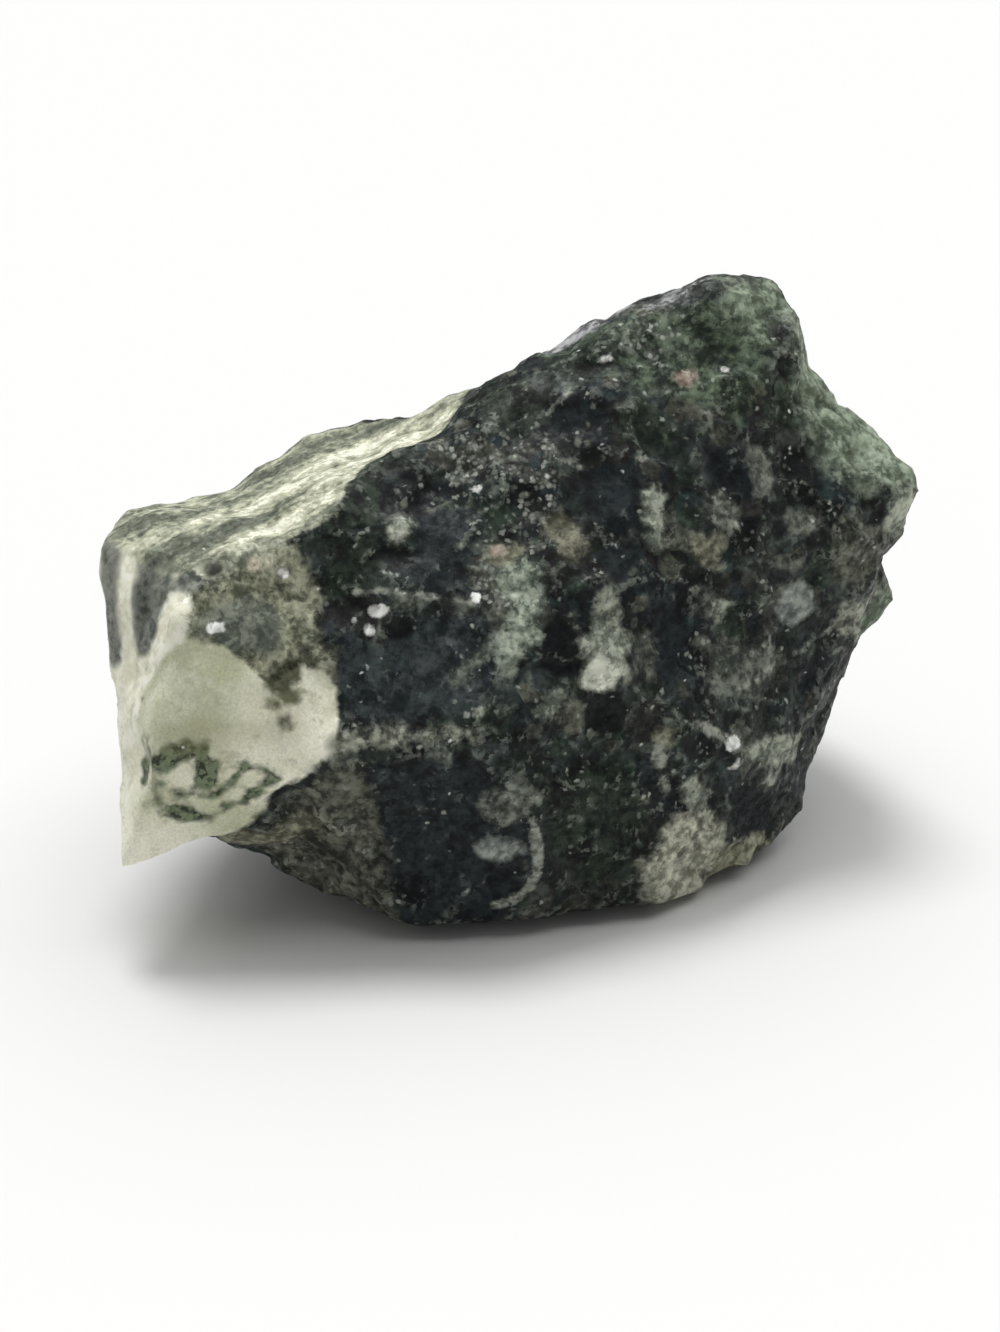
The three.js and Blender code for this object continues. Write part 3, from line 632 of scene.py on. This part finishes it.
def group_of(name, takes, gives):
    """A new node group with the sockets named in takes and gives, what it is given, and its results."""
    group = bpy.data.node_groups.new(name, "ShaderNodeTree")
    for socket, (kind, default) in takes.items():
        made = group.interface.new_socket(socket, in_out="INPUT", socket_type=kind)
        if default is not None:
            made.default_value = default
    for socket, kind in gives.items():
        group.interface.new_socket(socket, in_out="OUTPUT", socket_type=kind)
    given = group.nodes.new("NodeGroupInput").outputs
    result = group.nodes.new("NodeGroupOutput").inputs
    return group, given, result


def use(nodes_of, group, **values):
    """One use of a group, with its inputs linked or set by name."""
    node = nodes_of.nodes.new("ShaderNodeGroup")
    node.node_tree = group
    for name, value in values.items():
        connect(nodes_of, node.inputs[name], value)
    return node.outputs


PLACE = ("NodeSocketVector", None)
FLOAT = "NodeSocketFloat"

# Scattered grains: some of many cells hold a grain with a wavy edge, and each grain has a number of its own.

grains, given, result = group_of(
    "scattered grains",
    {"Place": PLACE, "Size": (FLOAT, 0.8), "Chosen": (FLOAT, 0.2), "Radius": (FLOAT, 0.4),
     "Soft": (FLOAT, 0.1)},
    {"Share": FLOAT, "Own": FLOAT})
sway = cloud(grains, given["Place"], given["Size"], detail=2, harshness=0.5, output="Color")
sway = scaled_by(grains, moved_by(grains, sway, (-0.5, -0.5, -0.5)), given["Size"])
cells = grains.nodes.new("ShaderNodeTexVoronoi")
connect(grains, cells.inputs["Vector"], moved_by(grains, given["Place"], sway))
connect(grains, cells.inputs["Scale"], calculate(grains, "DIVIDE", 1.0, given["Size"]))
parts = grains.nodes.new("ShaderNodeSeparateColor")
connect(grains, parts.inputs[0], cells.outputs["Color"])
picked = calculate(grains, "LESS_THAN", parts.outputs[0], given["Chosen"])
radius = calculate(grains, "MULTIPLY", given["Radius"], calculate(grains, "ADD", parts.outputs[1], 0.5))
edge = calculate(grains, "SUBTRACT", radius, cells.outputs["Distance"])
soft_below = calculate(grains, "MULTIPLY", given["Soft"], -1.0)
inside = ramp(grains, edge, soft_below, given["Soft"])
connect(grains, result["Share"], calculate(grains, "MULTIPLY", picked, inside))
connect(grains, result["Own"], parts.outputs[2])

# The rock's texture: a level for its light and dark, a swing for its ragged borders, and a fine grain.

texture, given, result = group_of(
    "rock texture", {"Place": PLACE}, {"Level": FLOAT, "Swing": FLOAT, "Fine": FLOAT})
clumps = cloud(texture, moved_by(texture, given["Place"], (3, 1, 7)), 2.4, detail=2, harshness=0.5)
lumps = cloud(texture, given["Place"], 0.8, detail=4, harshness=0.62)
single = use(texture, grains, Place=given["Place"], Size=0.34, Chosen=1.0, Radius=0.8, Soft=0.1)["Own"]
level = blend_of(texture, 0.5, (clumps, 1.1), (lumps, 1.15), (single, 0.14))
edges = cloud(texture, moved_by(texture, given["Place"], (6, 4, 2)), 1.8, detail=2, harshness=0.5)
connect(texture, result["Level"], level)
connect(texture, result["Swing"], blend_of(texture, 0.0, (edges, 3.1), (level, 1.3)))
connect(texture, result["Fine"], blend_of(texture, 0.5, (lumps, 0.8), (single, 0.3)))

# The dark rock: chips of several dark tones, clasts of two sizes in it, and pale seams in its borders.

dark_rock, given, result = group_of(
    "dark rock",
    {"Place": PLACE, "Tone": (FLOAT, 0.5), "Gap": (FLOAT, 1.0), "Level": (FLOAT, 0.5)},
    {"Color": "NodeSocketColor"})


def tint_of(nodes_of, value, *colours):
    """One of several colours, by a value from 0 to 1."""
    node = nodes_of.nodes.new("ShaderNodeValToRGB")
    connect(nodes_of, node.inputs[0], value)
    stops = node.color_ramp.elements
    while len(stops) < len(colours):
        stops.new(0.5)
    for index, (stop, colour) in enumerate(zip(stops, colours)):
        stop.position = index / (len(colours) - 1)
        stop.color = colour
    return node.outputs[0]


colour = tint_of(dark_rock, given["Tone"], rgb(26, 31, 33), rgb(46, 53, 52), rgb(33, 40, 36),
                 rgb(56, 61, 57), rgb(22, 26, 27), rgb(48, 48, 44), rgb(60, 66, 60))
for size, chosen, strength in ((2.7, 0.65, 0.9), (1.3, 0.45, 0.8)):
    clast = use(dark_rock, grains, Place=given["Place"], Size=size, Chosen=chosen, Radius=0.55, Soft=0.1)
    own = tint_of(dark_rock, clast["Own"], rgb(10, 13, 14), rgb(20, 25, 27), rgb(36, 48, 49),
                  rgb(42, 54, 42), rgb(15, 19, 20), rgb(66, 66, 56), rgb(96, 102, 92))
    colour = lay(dark_rock, calculate(dark_rock, "MULTIPLY", clast["Share"], strength), colour, own)
seam = ramp(dark_rock, given["Gap"], 0.3, 0.04)
broken = cloud(dark_rock, moved_by(dark_rock, given["Place"], (7, 3, 1)), 1.9, detail=3, harshness=0.6)
seam_here = calculate(dark_rock, "MULTIPLY", ramp(dark_rock, broken, 0.5, 0.66), 0.5)
colour = lay(dark_rock, calculate(dark_rock, "MULTIPLY", seam, seam_here), colour, rgb(104, 112, 102))
depth = ramp(dark_rock, given["Level"], 0.2, 0.8, low=0.45, high=1.55)
colour = lay(dark_rock, 1.0, colour, depth, "MULTIPLY")
connect(dark_rock, result["Color"], colour)

# The waxy rock of the lobe: greenish to milky, hazy, with soft mottles, few dark flecks and a sugary grain.

waxy_rock, given, result = group_of(
    "waxy rock", {"Place": PLACE, "Milk": (FLOAT, 0.5)}, {"Color": "NodeSocketColor"})
haze = cloud(waxy_rock, given["Place"], 3.2, detail=3, harshness=0.5)
mottle = cloud(waxy_rock, moved_by(waxy_rock, given["Place"], (2, 8, 5)), 1.1, detail=4, harshness=0.6)
fleck = cloud(waxy_rock, given["Place"], 0.4, detail=3, harshness=0.65)
colour = lay(waxy_rock, given["Milk"], rgb(200, 203, 172), rgb(253, 251, 230))
for noise_here, start, end, strength, tint in (
        (haze, 0.5, 0.7, 0.35, rgb(186, 186, 146)),
        (haze, 0.48, 0.3, 0.45, rgb(240, 240, 222)),
        (mottle, 0.52, 0.72, 0.4, rgb(246, 245, 230)),
        (mottle, 0.46, 0.28, 0.4, rgb(152, 154, 122)),
        (fleck, 0.42, 0.22, 0.35, rgb(128, 132, 106))):
    colour = lay(waxy_rock, ramp(waxy_rock, noise_here, start, end, high=strength), colour, tint)
sugar = cloud(waxy_rock, moved_by(waxy_rock, given["Place"], (1, 1, 4)), 0.2, detail=2, harshness=0.6)
sugar = ramp(waxy_rock, sugar, 0.3, 0.7, low=0.9, high=1.08)
connect(waxy_rock, result["Color"], lay(waxy_rock, 1.0, colour, sugar, "MULTIPLY"))

# The streaked rock of the plateau: wide and thin streaks of grey, olive and cream.

streaked_rock, given, result = group_of(
    "streaked rock", {"Along": PLACE, "Shade": (FLOAT, 0.0), "Level": (FLOAT, 0.5)},
    {"Color": "NodeSocketColor"})
wide = cloud(streaked_rock, given["Along"], 2.0, detail=3, harshness=0.55)
thin = moved_by(streaked_rock, given["Along"], (4, 9, 2))
thin = cloud(streaked_rock, thin, 0.5, detail=3, harshness=0.6)
level = blend_of(streaked_rock, 0.5, (wide, 1.1), (thin, 0.35), (given["Level"], 0.5))
level = calculate(streaked_rock, "SUBTRACT", level, given["Shade"])
colour = lay(streaked_rock, ramp(streaked_rock, level, 0.28, 0.6), rgb(108, 113, 98), rgb(184, 186, 162))
colour = lay(streaked_rock, ramp(streaked_rock, level, 0.58, 0.82), colour, rgb(230, 230, 210))
colour = lay(streaked_rock, ramp(streaked_rock, level, 0.32, 0.12, high=0.7), colour, rgb(66, 71, 62))
connect(streaked_rock, result["Color"], colour)

rock = bpy.data.materials.new("raw_serpentine")
rock.use_nodes = True
nodes = rock.node_tree
shader = nodes.nodes["Principled BSDF"]
shader.inputs["Specular IOR Level"].default_value = 0.18

local = nodes.nodes.new("ShaderNodeTexCoord")
place = scaled_by(nodes, local.outputs["Object"], 1 / MM)
grained = use(nodes, texture, Place=place)


def stored(name):
    """What the mesh holds under this name."""
    node = nodes.nodes.new("ShaderNodeAttribute")
    node.attribute_name = name
    return node.outputs["Fac"]


def share_of(name, fray, soft):
    """Where a kind of rock lies: its edge swings by fray mm and fades over soft mm each way."""
    depth = calculate(nodes, "MULTIPLY_ADD", grained["Swing"], fray, stored(name))
    return ramp(nodes, depth, -soft, soft)


def shaded(deep, light, start=0.24, end=0.76):
    """One colour in the rock's hollows and between its grains, and another on them."""
    return lay(nodes, ramp(nodes, grained["Level"], start, end), deep, light)


def part_of(share, strength):
    """A share made weaker, or kept only where another one is."""
    return calculate(nodes, "MULTIPLY", share, strength)


def lay_kinds(colour, *layers):
    """The colour with kinds of rock laid over it in turn.

    Each has its name, how strongly it covers, how far its edge swings and fades in mm, and the colours of
    its hollows and of its grains.
    """
    for name, strength, fray, soft, deep, light in layers:
        share = part_of(share_of(name, fray, soft), strength)
        colour = lay(nodes, share, colour, shaded(deep, light))
    return colour


def left_of(share):
    """What a share leaves."""
    return calculate(nodes, "SUBTRACT", 1.0, share)


# The place turned so that its x runs along the streaks, and squeezed that way, which draws noise out into
# streaks.

ALONG_SQUEEZE = 0.16
turn = nodes.nodes.new("ShaderNodeVectorRotate")
turn.rotation_type = "EULER_XYZ"
axis_turn = Vector((1, 0, 0)).rotation_difference(Vector(STREAK)).to_matrix().inverted().to_euler()
connect(nodes, turn.inputs["Vector"], place)
turn.inputs["Rotation"].default_value = axis_turn
squeeze = nodes.nodes.new("ShaderNodeVectorMath")
squeeze.operation = "MULTIPLY"
connect(nodes, squeeze.inputs[0], turn.outputs[0])
squeeze.inputs[1].default_value = (ALONG_SQUEEZE, 1, 1)
along = squeeze.outputs[0]

# The dark rock and its dark kinds.

dark = use(nodes, dark_rock, Place=place, Tone=stored("tone"), Gap=stored("gap"), Level=grained["Level"])
colour = lay_kinds(
    dark["Color"],
    ("green", 0.8, 0.7, 0.9, rgb(34, 45, 34), rgb(101, 116, 94)),
    ("deep_green", 0.9, 0.5, 0.7, rgb(10, 15, 11), rgb(46, 57, 45)),
    ("deep_blue", 0.92, 0.4, 0.4, rgb(6, 9, 11), rgb(26, 33, 36)),
    # blue: dark blue clasts, with painted shade on the low front face.
    ("blue_and_low_shade", 0.92, 0.4, 0.35, rgb(12, 16, 18), rgb(33, 41, 43)),
    # slate: slaty rock lightened as painted sheen on the face above the keel.
    ("slate_and_sheen", 0.85, 0.6, 0.6, rgb(26, 32, 34), rgb(62, 70, 71)),
    ("brown", 0.85, 0.6, 0.5, rgb(44, 45, 38), rgb(108, 109, 96)),
    ("black", 0.97, 0.3, 0.25, rgb(4, 5, 6), rgb(22, 26, 27)))

# Light grains in the dark rock, many where it is mottled and few in the blue clasts.

FEWEST_GRAINS = 0.006
areas = ramp(nodes, cloud(nodes, place, 3.4, detail=3, harshness=0.55), 0.5, 0.7)
salt = calculate(nodes, "MULTIPLY_ADD", share_of("mottle", 0.7, 0.8), 0.65, part_of(areas, 0.3))
salt = part_of(salt, left_of(part_of(share_of("blue_and_low_shade", 0.4, 0.3), 0.85)))
for size, most, dull, light in ((0.75, 0.3, rgb(60, 66, 60), rgb(120, 126, 114)),
                                (0.4, 0.85, rgb(66, 72, 65), rgb(176, 181, 170))):
    chosen = calculate(nodes, "MULTIPLY_ADD", salt, most, FEWEST_GRAINS)
    grain_here = use(nodes, grains, Place=moved_by(nodes, place, (size, 5, 9)), Size=size, Chosen=chosen,
                     Radius=0.38, Soft=0.28)
    tint = lay(nodes, grain_here["Own"], dull, light)
    colour = lay(nodes, part_of(grain_here["Share"], 0.82), colour, tint)

# The middling kinds, then the pale flank with its grey parts, the streaked plateau and the waxy lobe.

colour = lay_kinds(
    colour,
    # frost: pale rock with painted highlight along the top edge.
    ("frost_and_rim_highlight", 0.75, 0.7, 0.5, rgb(84, 88, 86), rgb(200, 200, 202)),
    ("dim", 0.8, 0.5, 0.5, rgb(66, 72, 65), rgb(128, 133, 121)),
    ("fibrous", 0.85, 0.7, 0.6, rgb(78, 92, 80), rgb(172, 182, 164)),
    ("light_green", 0.85, 0.7, 1.3, rgb(98, 110, 92), rgb(154, 167, 145)),
    ("shelf", 1.0, 0.5, 0.5, rgb(84, 88, 72), rgb(166, 167, 143)),
    ("shelf_blue", 0.85, 0.6, 0.6, rgb(82, 89, 82), rgb(118, 124, 112)))

flank_share = share_of("flank", 0.5, 0.4)
colour = lay(nodes, flank_share, colour, shaded(rgb(214, 213, 190), rgb(252, 250, 230), 0.1, 0.7))
colour = lay(nodes, share_of("grey", 0.4, 0.5), colour, shaded(rgb(88, 93, 87), rgb(142, 145, 134)))
shade = calculate(nodes, "SUBTRACT", part_of(share_of("back_strip", 0.6, 0.7), 0.18),
                  part_of(share_of("brow_cream", 0.6, 0.8), 0.27))
streaks = use(nodes, streaked_rock, Along=along, Shade=shade, Level=grained["Level"])["Color"]
colour = lay(nodes, share_of("plateau", 0.3, 0.2), colour, streaks)
milk = use(nodes, waxy_rock, Place=place, Milk=share_of("milk", 0.4, 2.0))["Color"]
lobe_share = share_of("lobe", 0.2, 0.22)
colour = lay(nodes, lobe_share, colour, milk)
ring_grains = lay(nodes, ramp(nodes, grained["Fine"], 0.36, 0.66), rgb(14, 28, 14), rgb(112, 127, 96))
colour = lay(nodes, part_of(share_of("ring", 0.8, 0.4), 0.95), colour, ring_grains)

# The small kinds that lie on top of the others.

colour = lay_kinds(
    colour,
    # dusk: painted shade on the flank's corner and round the small hollow.
    ("dusk_shade", 0.8, 0.4, 0.5, rgb(52, 57, 52), rgb(104, 109, 100)),
    # hollow: painted shade inside the small hollow.
    ("hollow", 0.95, 0.2, 0.25, rgb(20, 22, 18), rgb(60, 60, 52)),
    ("cream", 0.95, 0.2, 0.25, rgb(238, 237, 212), rgb(255, 254, 238)),
    ("stain", 0.4, 0.5, 1.2, rgb(120, 118, 84), rgb(150, 148, 104)),
    ("moss", 0.95, 0.6, 0.35, rgb(38, 41, 28), rgb(96, 98, 72)),
    # The keel: a pale vein with painted highlight along its ridge.
    ("keel", 0.85, 0.5, 0.45, rgb(70, 73, 64), rgb(166, 168, 152)),
    ("veins", 0.75, 0.25, 0.18, rgb(78, 84, 76), rgb(176, 180, 166)),
    ("low_cream", 0.95, 0.6, 0.8, rgb(134, 136, 119), rgb(206, 206, 186)),
    ("foot", 0.9, 0.6, 0.6, rgb(108, 108, 88), rgb(174, 173, 148)),
    ("pebble", 0.9, 0.15, 0.3, rgb(120, 126, 121), rgb(164, 170, 162)),
    ("pale", 0.88, 0.5, 0.45, rgb(100, 108, 96), rgb(178, 184, 166)),
    ("pale_core", 0.85, 0.4, 0.4, rgb(172, 177, 160), rgb(234, 236, 218)),
    ("warm", 0.8, 0.5, 0.5, rgb(94, 94, 78), rgb(156, 154, 132)),
    ("pink", 0.75, 0.4, 0.3, rgb(138, 118, 104), rgb(206, 188, 174)),
    ("bright", 1.0, 0.36, 0.14, rgb(212, 215, 206), rgb(252, 252, 248)))

# Tiny white dots everywhere as painted glints, the sparkle of mica grains; and on all but the waxy
# parts, pale scuffs with painted highlight on the crests, painted shade in the hollows, and a fine grain.

# Painted glints: tiny near-white dots standing in for the sparkle of mica grains.
glint = use(nodes, grains, Place=place, Size=1.5, Chosen=0.14, Radius=0.07, Soft=0.05)
colour = lay(nodes, part_of(glint["Share"], 0.85), colour, rgb(226, 230, 224))
rugged = left_of(calculate(nodes, "MAXIMUM", lobe_share, part_of(flank_share, 0.75)))
# Pale scuffs with painted highlight: the colour lightened where the surface stands out from its
# surroundings.
scuffs_and_crest_highlight = part_of(ramp(nodes, stored("crest"), 0.01, 0.05), ramp(nodes, grained["Fine"], 0.42, 0.7))
colour = lay(nodes, part_of(part_of(scuffs_and_crest_highlight, rugged), 0.35), colour, rgb(140, 146, 134))
# Painted shade: the colour darkened where the surface sinks below its surroundings.
painted_dip_shade = part_of(ramp(nodes, stored("crest"), -0.008, -0.04), rugged)
colour = lay(nodes, part_of(painted_dip_shade, 0.3), colour, rgb(14, 17, 18))
speck = ramp(nodes, grained["Fine"], 0.25, 0.75, low=0.78, high=1.25)
colour = lay(nodes, rugged, colour, lay(nodes, 1.0, colour, speck, "MULTIPLY"))
connect(nodes, shader.inputs["Base Color"], colour)

# The grains' tops are glossier than the hollows, and the lobe is smoother than the rest.

connect(nodes, shader.inputs["Roughness"], ramp(nodes, grained["Fine"], 0.3, 0.7, low=0.7, high=0.46))
bump = nodes.nodes.new("ShaderNodeBump")
connect(nodes, bump.inputs["Strength"], ramp(nodes, lobe_share, 0.0, 1.0, low=0.7, high=0.15))
bump.inputs["Distance"].default_value = 0.1 * MM
connect(nodes, bump.inputs["Height"], grained["Fine"])
connect(nodes, shader.inputs["Normal"], bump.outputs["Normal"])
stone.data.materials.clear()
stone.data.materials.append(rock)

# The floor
# It stands for the white ground under the stone: a plain, pale and matt board, one flat square that is much
# larger than the view, so that only its even white and the stone's shadow show.

FLOOR_HALF = 2
floor_corners = [(x * FLOOR_HALF, y * FLOOR_HALF, 0) for x, y in ((-1, -1), (1, -1), (1, 1), (-1, 1))]
floor_mesh = bpy.data.meshes.new("floor")
floor_mesh.from_pydata(floor_corners, [], [(0, 1, 2, 3)])
floor = bpy.data.objects.new("floor", floor_mesh)
bpy.context.scene.collection.objects.link(floor)
board = bpy.data.materials.new("white_board")
board.use_nodes = True
board_shader = board.node_tree.nodes["Principled BSDF"]
board_shader.inputs["Base Color"].default_value = (0.785, 0.785, 0.78, 1)
board_shader.inputs["Roughness"].default_value = 0.9
board_shader.inputs["Specular IOR Level"].default_value = 0.1
floor_mesh.materials.append(board)

# The light
# A soft light from above, behind and a little to the left, a much wider one from the right, and a weak
# light all round. Each lamp has its width in degrees, its strength, and the way it shines.

scene = bpy.context.scene
scene.view_settings.view_transform = "Standard"
world = bpy.data.worlds.new("soft_white")
scene.world = world
world.use_nodes = True
sky = world.node_tree.nodes["Background"]
sky.inputs["Color"].default_value = (1, 1, 1, 1)
sky.inputs["Strength"].default_value = 0.21
for name, width, strength, direction in (("soft_light_left", 20, 1.6, (2.5, -7, -25)),
                                         ("wide_light_right", 80, 1.95, (-4.5, -9, -25))):
    soft_light = bpy.data.lights.new(name, "SUN")
    soft_light.angle = math.radians(width)
    soft_light.energy = strength
    lamp = bpy.data.objects.new(name, soft_light)
    lamp.rotation_euler = Vector(direction).to_track_quat("-Z", "Y").to_euler()
    scene.collection.objects.link(lamp)

# The camera
# It looks along +Y and down by 28 degrees, as in the photograph, from well away, so that the stone keeps
# its proportions.

CAMERA_DOWN = math.radians(28)
CAMERA_DISTANCE = 231.3 * MM
looked_at = Vector((-0.9, 0, 13.2)) * MM
backwards = Vector((0, -math.cos(CAMERA_DOWN), math.sin(CAMERA_DOWN)))
camera_data = bpy.data.cameras.new("camera")
camera_data.lens = 85
camera_data.sensor_width = 36
camera_data.clip_start = 0.01
camera = bpy.data.objects.new("camera", camera_data)
camera.location = looked_at + backwards * CAMERA_DISTANCE
camera.rotation_euler = (-backwards).to_track_quat("-Z", "Y").to_euler()
scene.collection.objects.link(camera)
scene.camera = camera
